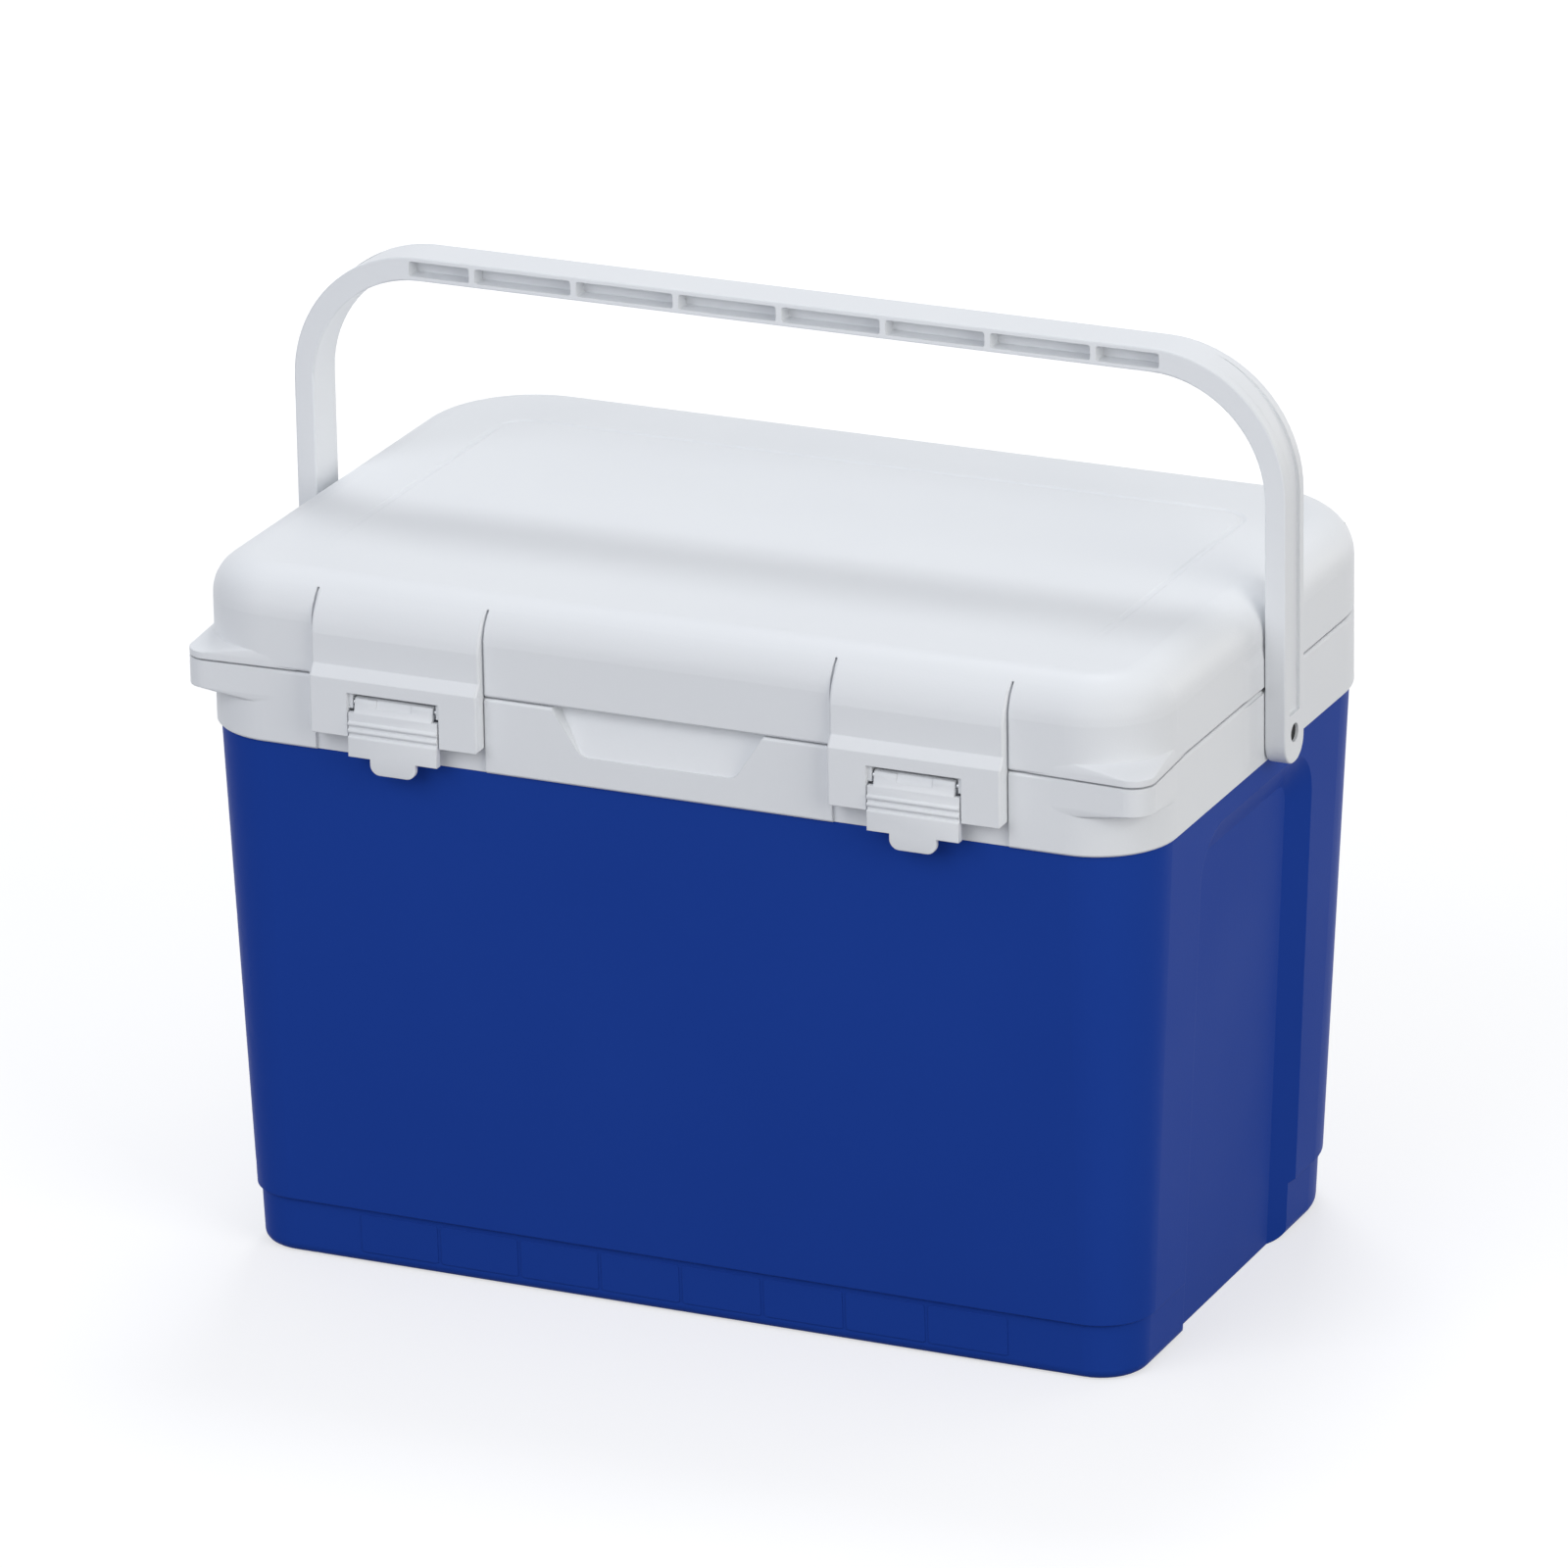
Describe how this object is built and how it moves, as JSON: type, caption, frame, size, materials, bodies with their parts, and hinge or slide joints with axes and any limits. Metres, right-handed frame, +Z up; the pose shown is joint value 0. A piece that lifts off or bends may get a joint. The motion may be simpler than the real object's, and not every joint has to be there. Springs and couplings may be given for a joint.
{
  "type": "vaccine carrier",
  "caption": "Insulated box-shaped vaccine carrier: foam-filled tub with ice packs, hinged lid with latch levers and a swinging bail handle.",
  "frame": {"origin": "centre of the base, on the surface that the box stands on", "axes": "+X to the right along the length, +Y to the back where the lid hinge is, +Z up; the latches are at -Y"},
  "size_m": [0.4178, 0.2611, 0.3794],
  "materials": {
    "white_plastic": "fine moulded satin",
    "blue_plastic": "fine moulded satin",
    "foam": "cellular",
    "gasket": "soft matte",
    "steel": "drawn",
    "pin_plastic": "moulded",
    "pack_plastic": "blow moulded",
    "cap_plastic": "moulded"
  },
  "bodies": {
    "carrier": {"outer_shell": "blue_plastic", "inner_liner": "white_plastic", "body_foam": "foam", "rim_collar": "white_plastic", "hinge_pin_left": "steel", "hinge_pin_right": "steel", "bail_pivot_pin_left": "pin_plastic", "bail_pivot_pin_right": "pin_plastic", "ice_pack_1": "pack_plastic", "ice_pack_2": "pack_plastic", "ice_pack_3": "pack_plastic", "ice_pack_4": "pack_plastic", "ice_pack_5": "pack_plastic", "ice_pack_6": "pack_plastic", "ice_pack_cap_1": "cap_plastic", "ice_pack_cap_2": "cap_plastic", "ice_pack_cap_3": "cap_plastic", "ice_pack_cap_4": "cap_plastic", "ice_pack_cap_5": "cap_plastic", "ice_pack_cap_6": "cap_plastic"},
    "lid": {"lid_shell": "white_plastic", "lid_liner": "white_plastic", "lid_foam": "foam", "lid_gasket": "gasket", "latch_pin_left": "steel", "latch_pin_right": "steel"},
    "latch_left": {"latch_lever_left": "white_plastic"},
    "latch_right": {"latch_lever_right": "white_plastic"},
    "bail": {"bail_handle": "white_plastic"}
  },
  "joints": [
    {"name": "lid_hinge", "type": "hinge", "parent": "carrier", "child": "lid", "pos_m": [0, 0.101, 0.277], "axis": [-1, 0, 0], "range_deg": [0, 90]},
    {"name": "bail_swing", "type": "hinge", "parent": "carrier", "child": "bail", "pos_m": [0, 0, 0.2291], "axis": [-1, 0, 0], "range_deg": [0, 108]},
    {"name": "latch_left_swing", "type": "hinge", "parent": "lid", "child": "latch_left", "pos_m": [-0.1084, -0.1296, 0.2405], "axis": [-1, 0, 0], "range_deg": [0, 60]},
    {"name": "latch_right_swing", "type": "hinge", "parent": "lid", "child": "latch_right", "pos_m": [0.1084, -0.1296, 0.2405], "axis": [-1, 0, 0], "range_deg": [0, 60]}
  ],
  "couplings": [
    {"joint": "bail_swing", "follows": "lid_hinge", "ratio": 1.2}
  ]
}
